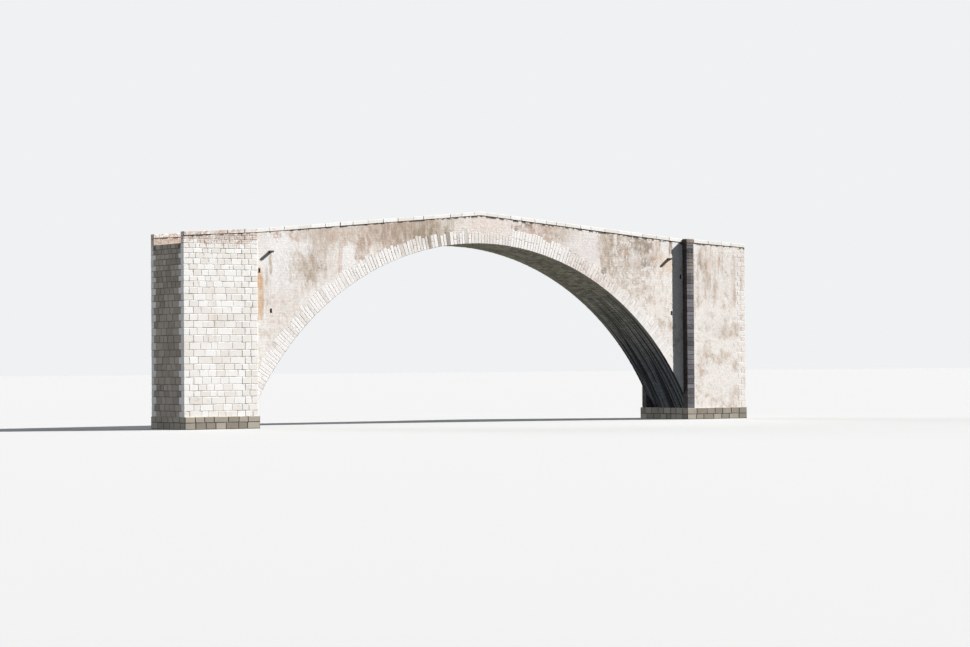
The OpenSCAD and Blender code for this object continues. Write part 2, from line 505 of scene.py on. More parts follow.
def rain_streaks(where, pitch, cover):
    """Upright runs of damp down a wall: Pitch is runs per metre, Cover the share that they take."""
    runs = (where * (1, 1, 0.08)).scaled(pitch).clouds(1.0, 4.0, 0.6)
    fields = (where * (1, 1, 0.6)).clouds(0.55, 3.0)
    level = runs + (fields - 0.5) * 1.1
    return [((level - (0.78 - cover * 0.5)) / 0.22).held()]


def blotches(where, scale, cover, edge):
    """Uneven cloudy spots: Scale is spots per metre, Cover the share that they take."""
    return [((where.clouds(scale, 5.0, 0.6) - (0.8 - cover * 0.6)) / edge).held()]


def stone_grain(where, scale):
    """Fine grain of hewn stone, as a tone about a half and as a height."""
    scaled = where.scaled(scale)
    coarse = scaled.clouds(1.0, 6.0, 0.65)
    pits = Level(node("TexVoronoi", Vector=scaled, Scale=1.6, Randomness=1.0).outputs["Distance"])
    return coarse, coarse + pits.span(0.05, 0.35) * 0.35


def stain(where, low, high, rag):
    """A stain from Low to High, pushed out and in by Rag. The front and the rear are alike."""
    middle = (low + high) * (0.5, 0.5, 0.5)
    unit = calc("ABSOLUTE", (where - middle) / (high - middle) * (1, 0, 1))
    along, _, up = unit.parts()
    distance = (unit.length() + calc("MAXIMUM", along, up)) * 0.5
    return [(distance + rag).span(1.3, 0.65)]


def below_coping(where, reach):
    """Nearness to the underside of the coping, from one just under it to nothing at Reach below."""
    along, _, up = where.parts()
    sideways = calc("ABSOLUTE", along)
    on_hump = calc("MINIMUM", sideways, PIER_X) * (HUMP_FALL / PIER_X)
    past_pier = calc("MAXIMUM", sideways - PIER_X, 0.0)
    fall = on_hump + past_pier * (APPROACH_FALL / (END_X - PIER_X))
    below = ROAD_CROWN + TO_COPING - fall - up
    return [(1.0 - below / reach).held()]


def under_arch(where):
    """The soffit and the edges of the arch stones that look down on it."""
    radius = ((where - (0, 0, CENTRE_Z)) * (1, 0, 1)).length()
    return [radius.span(SOFFIT_R + 0.012, SOFFIT_R + 0.002)]


make_group(rain_streaks, Pitch=3.0, Cover=0.5)
make_group(blotches, Scale=2.0, Cover=0.5, Edge=0.15)
make_group(stone_grain, ("Tone", "Height"), Scale=30.0)
make_group(stain, Low=None, High=None, Rag=0.0)
make_group(below_coping, Reach=1.0)
make_group(under_arch)

# How far a fully ragged outline wanders, in half sizes of its stain for each part of the noise
RAG_REACH = 7
# A stain's box is this wide to the front and to the rear, which its shape doesn't depend on
STAIN_Y = 9


class Coat:
    """Colour of a surface under way, to which stains are added one over another."""

    def __init__(self, where, ground):
        self.where = where
        self.colour = ground
        self.rag = None

    def tint(self, mask, shade, strength):
        """Lays a shade over the colour where the mask is, as strongly as strength."""
        self.colour = mixed(mask * strength, self.colour, shade)

    def dim(self, level):
        """Makes the colour darker where the level is under one, and lighter where it is over one."""
        self.colour = mixed(1.0, self.colour, level, "MULTIPLY")

    def streak_mask(self, pitch, cover):
        return self.where.effect("rain_streaks", Pitch=pitch, Cover=cover)

    def spot_mask(self, scale, cover, edge):
        return self.where.effect("blotches", Scale=scale, Cover=cover, Edge=edge)

    def streaks(self, pitch, cover, shade, strength):
        self.tint(self.streak_mask(pitch, cover), shade, strength)

    def blotches(self, scale, cover, shade, strength, edge=0.15):
        self.tint(self.spot_mask(scale, cover, edge), shade, strength)

    def make_ragged(self):
        """Wandering coordinates and noise that the stains share, for their outlines and how they take."""
        wander = (self.where * (1, 1, 0.35)).clouds(1.6, 5.0, 0.6, "Color")
        self.wandering = self.where + (wander - (0.5, 0.5, 0.5)) * (0.3, 0, 1.1)
        self.rag = (self.where * (1, 1, 0.45)).clouds(5.0, 8.0, 0.75) - 0.5
        self.uneven = (self.where * (1, 1, 0.4)).clouds(4.2, 7.0, 0.7).span(0.38, 0.58, 0.35, 1.0)

    def stain_mask(self, left, right, low, high, ragged):
        """Where a stain is; ragged is how far its outline wanders, as a share of its own half size."""
        if self.rag is None:
            self.make_ragged()
        box = {"Low": (left, -STAIN_Y, low), "High": (right, STAIN_Y, high)}
        return self.wandering.effect("stain", Rag=self.rag * (ragged * RAG_REACH), **box) * self.uneven

    def stain(self, left, right, low, high, shade, strength, ragged):
        self.tint(self.stain_mask(left, right, low, high, ragged), shade, strength)

    def drips(self, left, right, low, high, shade, strength, pitch, cover):
        """A stain that is broken up into narrow upright runs."""
        mask = self.stain_mask(left, right, low, high, 0.4) * self.streak_mask(pitch, cover)
        self.tint(mask, shade, strength)

    def mottle(self, left, right, low, high, shade, strength, scale, cover):
        """A stain that is broken up into small spots."""
        mask = self.stain_mask(left, right, low, high, 0.6) * self.spot_mask(scale, cover, 0.12)
        self.tint(mask, shade, strength)

    def under_coping(self, reach, shade, strength, pitch=2.2, cover=0.75):
        """Streaks that start under the coping."""
        near = self.where.effect("below_coping", Reach=reach)
        self.tint(near * self.streak_mask(pitch, cover), shade, strength)

    def coping_shadow(self):
        """Painted shade in the angle just under the coping, dark as soot, broken into dashes to the left and
        heavier towards the right.
        """
        near = self.where.effect("below_coping", Reach=0.11)
        start = self.where.parts()[ALONG].span(-5.0, 2.0, 0.45, 0.15)
        patches = self.where.clouds(3.5, 2.0).span(0.45, 0.55, 0.55, -0.15)
        self.tint(((near - (start + patches)) / 0.3).held(), SOOT_AND_SHADE, 0.85)


def crown_stains(coat):
    coat.stain(-0.7, 2.1, 7.6, 9.2, PINK, 0.8, 0.3)
    coat.drips(-0.7, 2.1, 7.8, 9.2, LIME, 0.7, 4.0, 0.6)


def left_stains(coat):
    """The stains of the left half, where the photograph shows them, from the pier to the crown."""
    coat.stain(-10.7, -9.2, 5.4, 8.1, LIME, 1.0, 0.2)
    coat.stain(-10.5, -9.3, 5.8, 8.2, LIME, 1.0, 0.1)
    coat.stain(-10.4, -9.4, 6.0, 8.1, LIME, 1.0, 0.1)
    coat.mottle(-10.9, -9.0, 4.3, 6.2, PINK, 1.0, 5.0, 0.55)
    coat.mottle(-10.9, -9.2, 4.3, 6.2, TAN, 0.45, 8.0, 0.45)
    coat.mottle(-11.2, -8.8, 0.3, 4.6, TAN, 0.8, 2.0, 0.5)
    coat.stain(-9.5, -7.4, 5.9, 7.6, TAN, 0.75, 0.3)
    coat.mottle(-9.5, -7.4, 5.9, 7.6, TAN, 0.7, 4.0, 0.5)
    coat.stain(-9.1, -8.4, 7.25, 7.85, LIME, 1.0, 0.3)
    coat.stain(-11.1, -10.5, 7.3, 8.2, LIME, 0.7, 0.3)
    coat.stain(-8.5, -7.3, 7.3, 8.3, TAN, 0.7, 0.35)
    coat.drips(-8.2, -7.0, 5.9, 7.5, LIME, 0.8, 5.0, 0.55)
    coat.mottle(-9.0, -8.35, 6.0, 6.8, OLIVE, 0.4, 5.0, 0.62)
    coat.drips(-8.65, -8.25, 5.7, 7.8, BROWN, 0.45, 9.0, 0.7)
    coat.mottle(-8.3, -7.7, 6.5, 6.95, GREY_BROWN, 0.7, 6.0, 0.5)
    coat.drips(-7.2, -6.95, 6.3, 8.0, ROSE_BROWN, 1.0, 9.0, 0.9)
    coat.stain(-6.95, -6.35, 6.3, 7.8, LIME, 0.95, 0.3)
    coat.mottle(-10.25, -9.9, 7.8, 8.35, ROSE_BROWN, 1.0, 6.0, 0.65)
    coat.mottle(-9.7, -9.0, 7.9, 8.4, ROSE_BROWN, 1.0, 5.0, 0.65)
    coat.drips(-10.52, -10.38, 6.3, 7.3, TAN, 1.0, 9.0, 0.9)
    coat.drips(-10.75, -10.5, 5.0, 6.6, GREY_BROWN, 0.45, 9.0, 0.8)
    coat.stain(-8.9, -5.8, 7.75, 8.9, TAN, 0.8, 0.2)
    coat.drips(-8.8, -5.0, 7.8, 8.9, ROSE_BROWN, 0.7, 3.0, 0.6)
    coat.stain(-11.2, -10.72, 4.5, 6.5, OCHRE, 1.0, 0.06)
    coat.drips(-11.2, -10.76, 4.5, 6.5, DEEP_OCHRE, 1.0, 5.0, 0.9)
    coat.stain(-6.2, -1.9, 7.4, 9.4, TAN, 1.0, 0.15)
    coat.stain(-5.6, -2.2, 7.6, 8.95, BROWN, 0.85, 0.3)
    coat.stain(-6.4, -5.6, 7.0, 8.1, ROSE_BROWN, 0.8, 0.25)
    coat.mottle(-6.4, -5.6, 7.0, 8.1, BROWN, 0.8, 3.5, 0.6)
    coat.drips(-2.6, 0.0, 7.6, 9.2, TAN, 0.9, 3.0, 0.6)
    coat.drips(-3.4, -0.7, 7.6, 8.9, OLIVE, 1.0, 7.0, 0.5)
    coat.stain(-2.68, -2.45, 7.9, 8.45, OLIVE, 1.0, 0.2)
    coat.stain(-1.92, -1.62, 8.1, 8.5, OLIVE, 1.0, 0.3)
    coat.stain(-1.12, -0.98, 7.9, 8.35, OLIVE, 0.9, 0.2)
    coat.drips(-2.1, -0.4, 8.2, 9.1, CREAM, 0.8, 6.0, 0.5)
    crown_stains(coat)
    coat.drips(-8.0, -4.8, 7.9, 8.9, CREAM, 0.9, 9.0, 0.35)


def right_stains(coat):
    """The stains of the right half, where the photograph shows them, from the crown to the wing wall."""
    crown_stains(coat)
    coat.mottle(1.65, 2.3, 8.35, 8.7, GREY_BROWN, 1.0, 5.0, 0.7)
    coat.stain(2.1, 4.0, 7.9, 9.0, ROSE_BROWN, 0.9, 0.3)
    coat.stain(3.2, 4.9, 7.85, 8.95, TAN, 0.8, 0.3)
    coat.mottle(2.2, 5.2, 7.8, 9.0, BROWN, 0.6, 5.0, 0.5)
    coat.mottle(2.3, 3.4, 8.5, 8.85, SOOT_AND_SHADE, 0.6, 6.0, 0.5)
    coat.mottle(3.0, 5.4, 7.5, 8.6, LIME, 0.8, 6.0, 0.45)
    coat.stain(4.5, 6.43, 6.9, 8.5, PALE, 0.7, 0.25)
    coat.stain(5.35, 6.43, 7.0, 8.35, PALE, 0.9, 0.05)
    coat.stain(6.43, 7.2, 6.4, 8.8, TAN, 0.9, 0.15)
    coat.mottle(6.4, 7.3, 6.5, 8.8, BROWN, 0.6, 5.0, 0.5)
    coat.drips(6.85, 7.15, 6.6, 8.0, OLIVE, 1.0, 9.0, 0.8)
    coat.drips(7.0, 9.6, 6.6, 8.7, TAN, 0.9, 3.0, 0.6)
    coat.mottle(6.9, 9.7, 5.0, 9.0, TAN, 0.9, 3.2, 0.68)
    coat.mottle(6.8, 9.6, 5.6, 8.7, LIME, 1.0, 4.4, 0.45)
    coat.mottle(6.9, 9.4, 7.3, 8.9, BROWN, 1.0, 5.2, 0.55)
    coat.mottle(6.9, 9.7, 6.9, 8.9, GREY_BROWN, 1.0, 8.5, 0.42)
    coat.mottle(6.9, 9.5, 5.4, 8.7, LIME, 1.0, 7.0, 0.4)
    coat.mottle(7.2, 9.5, 7.2, 8.9, OLIVE, 1.0, 11.0, 0.38)
    coat.mottle(6.9, 9.3, 5.8, 7.4, GREY_BROWN, 0.8, 6.5, 0.25)
    coat.stain(8.35, 8.6, 7.4, 8.4, GREY_BROWN, 0.9, 0.3)
    coat.mottle(8.7, 9.25, 7.5, 8.1, GREY_BROWN, 1.0, 5.0, 0.7)
    coat.mottle(8.7, 9.25, 6.8, 7.4, GREY_BROWN, 0.9, 5.0, 0.6)
    coat.stain(8.0, 8.6, 7.1, 7.7, CREAM, 0.7, 0.5)
    coat.mottle(6.35, 6.75, 6.4, 6.95, GREY_BROWN, 1.0, 6.0, 0.75)
    coat.drips(9.3, 9.72, 7.0, 8.5, RUST, 1.0, 9.0, 0.75)
    coat.drips(9.25, 9.5, 7.7, 8.65, BROWN, 1.0, 9.0, 0.9)
    coat.drips(9.62, 9.95, 7.2, 8.3, TAN, 1.0, 8.0, 0.7)
    coat.stain(9.9, 10.42, 7.65, 8.35, LIME, 1.0, 0.1)
    coat.mottle(9.7, 10.6, 6.5, 7.5, OCHRE, 1.0, 4.0, 0.7)
    coat.stain(10.44, 11.1, 7.2, 8.3, LIME, 1.0, 0.15)
    coat.drips(10.32, 10.5, 7.5, 8.5, BROWN, 1.0, 9.0, 0.95)
    coat.stain(11.45, 11.75, 6.5, 8.3, LIME, 1.0, 0.3)
    coat.drips(11.6, 14.6, 5.2, 8.6, TAN, 1.0, 4.5, 0.65)
    coat.drips(11.7, 12.2, 6.8, 8.4, BROWN, 1.0, 9.0, 0.8)
    coat.drips(11.9, 13.6, 6.7, 8.6, RUST, 0.9, 6.0, 0.55)
    coat.drips(11.6, 14.6, 6.6, 8.8, BROWN, 0.8, 8.0, 0.5)
    coat.mottle(11.4, 14.6, 5.5, 8.4, GREY_BROWN, 0.6, 5.0, 0.4)
    coat.mottle(11.4, 15.5, 0.0, 6.5, TAN, 0.9, 1.5, 0.5)
    coat.mottle(11.4, 15.5, 0.0, 6.5, ROSE_BROWN, 0.5, 4.0, 0.35)
    coat.mottle(8.6, 11.2, 0.3, 5.2, TAN, 0.8, 2.0, 0.5)


def arch_stains(coat):
    """Damp on the arch stones near the crown."""
    coat.stain(-5.5, -1.5, 7.2, 8.8, TAN, 0.8, 0.3)
    coat.drips(-3.4, -0.7, 7.6, 8.9, OLIVE, 0.8, 7.0, 0.5)
    coat.mottle(3.0, 9.0, 4.5, 8.6, TAN, 0.7, 6.0, 0.5)


def limewashed(where, add_stains):
    """Colour of lime-rendered faces, and Bare where the stones show through more."""
    coat = Coat(where, CREAM)
    coat.blotches(0.6, 0.45, PINK, 0.6, 0.3)
    coat.streaks(2.2, 0.45, LIME, 0.8)
    coat.streaks(3.4, 0.22, TAN, 0.45)
    coat.blotches(2.6, 0.22, TAN, 0.4)
    coat.blotches(6.5, 0.28, TAN, 0.35)
    coat.blotches(9.0, 0.30, LIME, 0.6)
    coat.under_coping(0.7, TAN, 0.55)
    add_stains(coat)
    coat.dim(where.clouds(10.0, 8.0, 0.8).span(0.3, 0.7, 0.88, 1.07))
    return coat.colour, where.clouds(0.5, 3.0).span(0.48, 0.62)


for part, add_stains in {"left": left_stains, "right": right_stains, "arch": arch_stains}.items():
    outputs = ("Colour", "Bare")
    make_group(lambda where: limewashed(where, add_stains), outputs, "limewashed_" + part)

# Of all finishes: roughness, depth of the relief in metres, and strength of the sheen
ROUGHNESS = 0.92
RELIEF = 0.005
SPECULAR = 0.25


class Finish(Coat):
    """A material under way, on the bridge's own coordinates."""

    def __init__(self, name, grain_scale=28.0):
        self.material = bpy.data.materials.new(name)
        self.material.use_nodes = True
        self.material.node_tree.nodes.clear()
        super().__init__(self.source("TexCoord", "Object"), CREAM)
        self.tone = self.source("Attribute", "Fac", attribute_name="tone")
        self.grain = self.where.effect("stone_grain", "Tone", Scale=grain_scale)
        self.height = self.where.effect("stone_grain", "Height", Scale=grain_scale)

    def source(self, kind, output, **settings):
        """An output of a node that has no inputs."""
        return Level(node(kind, tree=self.material.node_tree, **settings).outputs[output])

    def facing(self, axis):
        """One where the surface faces along an axis, and minus one where it faces back."""
        return self.source("NewGeometry", "Normal").parts()[axis]

    def stone(self, dark, light):
        """Ground colour from dark to light, by stone, by place and by grain."""
        share = self.tone * 0.55 + self.where.clouds(1.3, 4.0, 0.6) * 0.5 + self.grain * 0.6
        self.colour = mixed(share.span(0.45, 1.15), colour(*dark), colour(*light))

    def limewash(self, part, fade, contrast):
        """Ground colour of the rendered faces; stones differ by fade, or by contrast where they are bare."""
        self.colour = self.where.effect("limewashed_" + part, "Colour")
        depth = self.where.effect("limewashed_" + part, "Bare") * (contrast - fade) + fade
        self.dim(1.0 - depth * (0.9 - self.tone))
        self.grain_tone(0.10)

    def grain_tone(self, strength):
        """Makes the colour lighter and darker with the grain."""
        self.dim(self.grain.span(0.3, 0.7, 1 - strength, 1 + strength / 3))

    def weathered_top(self, shade, strength):
        """Dirt and lichen on what faces up."""
        self.tint(self.facing(UP).span(0.5, 0.95), shade, strength)

    def painted_shade_on_sunward_faces(self, strength):
        """Painted shade, grey-brown, on the faces that look along the bridge to the right, towards the sun.
        """
        self.tint(self.facing(ALONG).span(0.7, 0.9), GREY_BROWN, strength)

    def done(self):
        """Puts the colour, roughness and relief on a shader and gives the material."""
        bump = node("Bump", Strength=0.8, Distance=RELIEF, Height=self.height)
        shader = node(
            "BsdfPrincipled", Normal=Level(bump.outputs[0]), Roughness=ROUGHNESS,
            **{"Base Color": self.colour, "Specular IOR Level": SPECULAR})
        node("OutputMaterial", Level(shader.outputs[0]))
        return self.material


# Finishes, in the colours of the photographed stone

SOFFIT_DARK = (142, 138, 120)
SOFFIT_LIGHT = (206, 200, 180)


def rendered_rubble(name, end, shade_in_holes=False):
    """Lime render over rubble, for the spandrels, the outer parapets and the right wing."""
    finish = Finish(name + "_" + END_NAMES[end])
    finish.limewash(END_NAMES[end], 0.02, 0.10)
    finish.coping_shadow()
    finish.painted_shade_on_sunward_faces(0.7)
    if shade_in_holes:
        # Painted shade on the faces that lie inside the wall face, that is inside its holes, darker with
        # depth
        from_middle = calc("ABSOLUTE", finish.where.parts()[ACROSS])
        finish.tint(from_middle.span(FACE_Y - 0.01, FACE_Y - 0.06), SOOT_AND_SHADE, 0.9)
    return finish.done()


def damp_curve(finish):
    """Damp lines that run along the curve of the arch, and a darker, bluer tint towards its foot."""
    along, across, up = finish.where.parts()
    turn = calc("ARCTAN2", along, up - CENTRE_Z)
    unrolled = Level(node("CombineXYZ", turn, across).outputs[0])
    lines = (unrolled * (4.0, 9.6, 0)).clouds(1.0, 3.0, 0.6)
    grooves = (unrolled * (2.4, 7.5, 0)).clouds(1.0, 1.0, 0.4)
    low = up.span(6.5, 3.5)
    finish.blotches(1.1, 0.4, colour(140, 138, 112), 0.6)
    # Darker and bluer towards the foot of the arch
    finish.tint(low, colour(124, 128, 132), 0.6)
    finish.tint(up.span(4.2, 2.2), colour(84, 94, 108), 0.65)
    finish.tint(lines.span(0.5, 0.62), SOOT_AND_SHADE, 0.35)
    finish.tint(grooves.span(0.5, 0.54) * low, DAMP_BLACK, 0.95)


def arch_finish(name, fade, whiteness, dirt):
    """Arch stones: the longer ones are whiter, and the undersides are as dark as the soffit."""
    finish = Finish(name)
    finish.limewash("arch", fade, fade + 0.04)
    finish.tint(finish.tone.span(0.4, 0.65), LIME, whiteness)
    finish.tint(finish.tone.span(0.26, 0.1) * finish.streak_mask(5.0, 0.9), GREY_BROWN, whiteness)
    finish.streaks(5.0, 0.3, TAN, 0.5)
    finish.blotches(7.0, 0.3, TAN, 0.55)
    finish.stain(4.4, 7.6, 5.6, 7.9, PINK, 0.5, 0.3)
    finish.mottle(4.4, 7.6, 5.6, 7.9, GREY_BROWN, 0.6, 7.0, 0.5)
    finish.stain(-7.0, 7.0, 5.5, 9.0, GREY_BROWN, dirt, 0.2)
    finish.stain(-0.7, 1.8, 7.0, 9.2, PINK, dirt, 0.1)
    finish.grain_tone(0.06)
    face_colour = finish.colour
    finish.colour = mixed(finish.tone, colour(*SOFFIT_DARK), colour(*SOFFIT_LIGHT))
    damp_curve(finish)
    finish.colour = mixed(finish.where.effect("under_arch"), face_colour, finish.colour)
    return finish.done()


def soffit_finish(name, dark, light):
    """Stone under the arch, which takes the damp."""
    finish = Finish(name)
    finish.stone(dark, light)
    damp_curve(finish)
    return finish.done()


def ashlar_finish(name, dark, light):
    """Sun-bleached dressed blocks with brown marks, most of them high up at the left end."""
    finish = Finish(name, grain_scale=22.0)
    finish.stone(dark, light)
    finish.blotches(3.2, 0.3, TAN, 0.6)
    finish.blotches(7.0, 0.2, GREY_BROWN, 0.5)
    finish.streaks(2.8, 0.25, TAN, 0.4)
    finish.under_coping(0.5, ROSE_BROWN, 0.9)
    finish.mottle(-15.5, -10.9, 7.65, 8.3, ROSE_BROWN, 1.0, 5.0, 0.7)
    finish.mottle(-15.5, -10.9, 7.7, 8.2, GREY_BROWN, 0.9, 9.0, 0.55)
    finish.coping_shadow()
    finish.painted_shade_on_sunward_faces(0.6)
    return finish.done()


def open_joint_finish(name):
    """Joints of the dressed blocks, open and dark in places and full of lime in others."""
    finish = Finish(name)
    finish.stone((132, 124, 114), (184, 174, 162))
    finish.blotches(2.6, 0.7, colour(242, 236, 228), 0.95, 0.2)
    return finish.done()


def dark_pier_finish(name, dark, light):
    """Grey stone of the right piers, darkened on the side of the opening: partly damp, partly painted shade.
    """
    finish = Finish(name, grain_scale=22.0)
    finish.stone(dark, light)
    finish.streaks(6.0, 0.45, BROWN, 0.5)
    finish.blotches(2.4, 0.35, GREY_BROWN, 0.5)
    finish.under_coping(1.6, SOOT_AND_SHADE, 0.5, 3.0, 0.6)
    # Painted shade, dark as soot, with some damp, on the faces that look to the opening, away from the sun
    finish.tint((finish.facing(ALONG) * -1.0).span(0.2, 0.6), SOOT_AND_SHADE, 0.8)
    return finish.done()


def plain_finish(name, dark, light, top=0.0):
    """Stone from dark to light with a little dirt, and as much on top as asked."""
    finish = Finish(name)
    finish.stone(dark, light)
    finish.blotches(2.0, 0.40, GREY_BROWN, 0.45)
    finish.blotches(7.0, 0.25, SOOT_AND_SHADE, 0.3)
    if top:
        finish.weathered_top(GREY_BROWN, top)
    return finish.done()


def coping_finish(name):
    """Worn white slabs: rosy in places to the left, grey with lichen on top, and darkened beneath with
    painted shade.
    """
    finish = Finish(name)
    finish.stone((238, 233, 227), (253, 251, 248))
    rosy = finish.stain_mask(-12.0, -5.0, 7.0, 9.4, 0.3) * finish.spot_mask(2.2, 0.45, 0.2)
    finish.tint(rosy, PINK, 0.6)
    finish.mottle(-15.5, -11.4, 7.0, 9.2, ROSE_BROWN, 1.0, 5.0, 0.65)
    finish.mottle(-15.5, -11.4, 7.0, 9.2, GREY_BROWN, 0.8, 9.0, 0.5)
    finish.blotches(5.0, 0.18, GREY_BROWN, 0.45)
    finish.weathered_top(colour(186, 178, 166), 0.8)
    # Painted shade on the undersides of the slabs
    finish.tint((finish.facing(UP) * -1.0).span(0.3, 0.8), SOOT_AND_SHADE, 0.7)
    finish.painted_shade_on_sunward_faces(0.5)
    return finish.done()


WALL_STONE = {end: rendered_rubble("lime_rendered_rubble", end) for end in ENDS}
WALL_MORTAR = {end: rendered_rubble("lime_render", end) for end in ENDS}
SPANDREL_CORE = {end: rendered_rubble("lime_render_with_holes", end, True) for end in ENDS}
RING_STONE = arch_finish("arch_stone", 0.12, 0.85, 0.0)
RING_MORTAR = arch_finish("arch_joint", 0.03, 0.0, 0.75)
WING_STONE = ashlar_finish("bleached_ashlar", (238, 232, 225), (253, 251, 249))
WING_MORTAR = open_joint_finish("open_ashlar_joint")
PIER_STONE = dark_pier_finish("weathered_pier_stone", (62, 61, 66), (126, 124, 130))
PIER_MORTAR = plain_finish("pier_joint", (72, 66, 62), (98, 90, 84))
SOFFIT_STONE = soffit_finish("soffit_stone", SOFFIT_DARK, SOFFIT_LIGHT)
SOFFIT_MORTAR = soffit_finish("soffit_joint", (58, 55, 49), (82, 78, 70))
COPING_STONE = coping_finish("worn_coping_stone")
CAP_STONE = dark_pier_finish("pier_head_stone", (132, 118, 108), (172, 156, 144))
PLINTH_STONE = plain_finish("plinth_stone", (142, 134, 122), (186, 178, 164), 0.3)
ROAD_STONE = plain_finish("worn_cobbles", (148, 140, 128), (190, 182, 168))
ROAD_BED = plain_finish("road_bed", (116, 103, 88), (148, 134, 117))
PARAPET_STONE = ashlar_finish("inner_parapet_stone", (186, 178, 169), (220, 213, 205))
ABUTMENT_STONE = plain_finish("end_wall_stone", (152, 142, 130), (190, 180, 168))
ABUTMENT_MORTAR = plain_finish("end_wall_joint", (108, 96, 84), (140, 126, 112))
FILL = plain_finish("rubble_fill", (120, 104, 86), (158, 140, 120))
SPOUT_STONE = plain_finish("spout_stone", (76, 69, 61), (112, 103, 92))

CORE_FINISHES = {
    "plinth": PIER_MORTAR,
    "vault": SOFFIT_MORTAR,
    "face_ring": RING_MORTAR,
    "abutment": ABUTMENT_MORTAR,
    "haunch_fill": FILL,
    "spandrel": SPANDREL_CORE[RIGHT],
    "pier_cap": CAP_STONE,
    "pier": PIER_MORTAR,
    "wing_wall": WALL_MORTAR[RIGHT],
    "wing_coping": COPING_STONE,
    "roadway": ROAD_BED,
    "parapet": WALL_MORTAR[RIGHT],
    "coping": COPING_STONE,
    "crown_coping": COPING_STONE,
    "spout": SPOUT_STONE,
}
LEFT_CORE_FINISHES = {
    "spandrel": SPANDREL_CORE[LEFT],
    "parapet": WALL_MORTAR[LEFT],
    "pier": WING_MORTAR,
    "wing_wall": WING_MORTAR,
    "pier_cap": COPING_STONE,
}

for node_name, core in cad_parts.items():
    # The longest start of the node's name counts
    base = max((n for n in CORE_FINISHES if node_name.startswith(n)), key=len)
    own = LEFT_CORE_FINISHES if node_name.endswith("left") else CORE_FINISHES
    core.data.materials.clear()
    core.data.materials.append(own.get(base, CORE_FINISHES[base]))


# How stones are cut: the block, the width of its chamfers and how uneven it is
RUBBLE_CUT = (ROUGH, 0.003, 0.004)
INNER_CUT = (PLAIN, 0.007, 0.006)
STEP_CUT = (PLAIN, 0.007, 0.004)
ARCH_CUT = (WHOLE, 0.007, 0.006)
SOFFIT_CUT = (ROUGH, 0.011, 0.009)
PIER_CUT = (WHOLE, 0.011, 0.006)
CORNER_CUT = (WHOLE, 0.011, 0.005)
END_CUT = (PLAIN, 0.010, 0.007)
PLINTH_CUT = (WHOLE, 0.014, 0.006)
COBBLE_CUT = (PLAIN, 0.014, 0.010)


def along_wall(end, y):
    """Turns a distance from the middle of the bridge and a height into a point of a wall at y."""
    return lambda x, z: (end * x, y, z)


def across_wall(x):
    """Turns a distance across the bridge and a height into a point of a wall at x."""
    return lambda y, z: (x, y, z)


def arc_point(angle, radius, y):
    return (radius * math.sin(angle), y, CENTRE_Z + radius * math.cos(angle))


# Stones of the arch

# How far the dressed stones stand over the faces of the parts
PROUD = 0.006
RUBBLE_JOINT = 0.008
VOUSSOIR_JOINT = 0.020
ASHLAR_JOINT = 0.018
SKIN = 0.03
VOUSSOIR_TURNS = (0.12 / SOFFIT_R, 0.19 / SOFFIT_R)
SHORT_VOUSSOIR = 0.38
LONG_VOUSSOIR = 0.77
VAULT_STRIPS = 6
# Joint between two strips of the soffit at the crown, and how much it opens to each side at the foot
STRIP_JOINT = 0.008
STRIP_WEAR = 0.016
# Where the longest backs are, each of two stones, and how often other ones are of two
LONG_FROM = 1.6
LONG_TO = 3.2
SPLIT_ODDS = 0.25


def voussoir_shape(x, index):
    """Length and tone of an arch stone. Left of the crown long brown ones stand among short white ones."""
    if LONG_FROM < x < LONG_TO:
        return dice.uniform(0.70, LONG_VOUSSOIR), dice.uniform(0.66, 1)
    if -0.5 < x < LONG_FROM:
        return dice.uniform(SHORT_VOUSSOIR, 0.50), dice.uniform(0.32, 0.52)
    if -2.8 < x < 0:
        if index % 3 == 0:
            return dice.uniform(0.55, 0.72), dice.uniform(0, 0.26)
        return dice.uniform(SHORT_VOUSSOIR, 0.58), dice.uniform(0.5, 1)
    if -5.6 < x < 0:
        return dice.uniform(0.48, 0.72), dice.uniform(0.46, 1)
    if x < -5.6:
        return dice.uniform(0.46, LONG_VOUSSOIR), dice.uniform(0.36, 1)
    if x > 4.6:
        return dice.uniform(0.50, 0.70), dice.uniform(0.46, 0.62)
    return dice.uniform(0.54, 0.74), dice.uniform(0.58, 1)


def lay_voussoirs(face):
    """Arch stones of one face, of uneven length, so that their backs are toothed."""
    stones = Stones()
    gap = VOUSSOIR_JOINT / SOFFIT_R / 2
    inner = SOFFIT_R - PROUD
    for index, (a, b) in enumerate(pairs(cut_up(-HALF_ANGLE, HALF_ANGLE, *VOUSSOIR_TURNS))):
        x = SOFFIT_R * math.sin((a + b) / 2)
        length, tone = voussoir_shape(x, index)
        lengths = [(inner, SOFFIT_R + length)]
        if LONG_FROM < x < LONG_TO or dice.uniform() < SPLIT_ODDS:
            split = SOFFIT_R + dice.uniform(0.46, 0.56) * length
            lengths = [
                (inner, split - VOUSSOIR_JOINT / 2), (split + VOUSSOIR_JOINT / 2, SOFFIT_R + length)]
        for foot_and_back in lengths:
            stones.lay(
                lambda angle, radius: arc_point(angle, radius, face * FACE_Y), (a + gap, b - gap),
                foot_and_back, (0, face, 0), RING_W, PROUD, tone)
    masonry_piece("voussoirs_" + FACE_NAMES[face], stones, ARCH_CUT, RING_STONE)


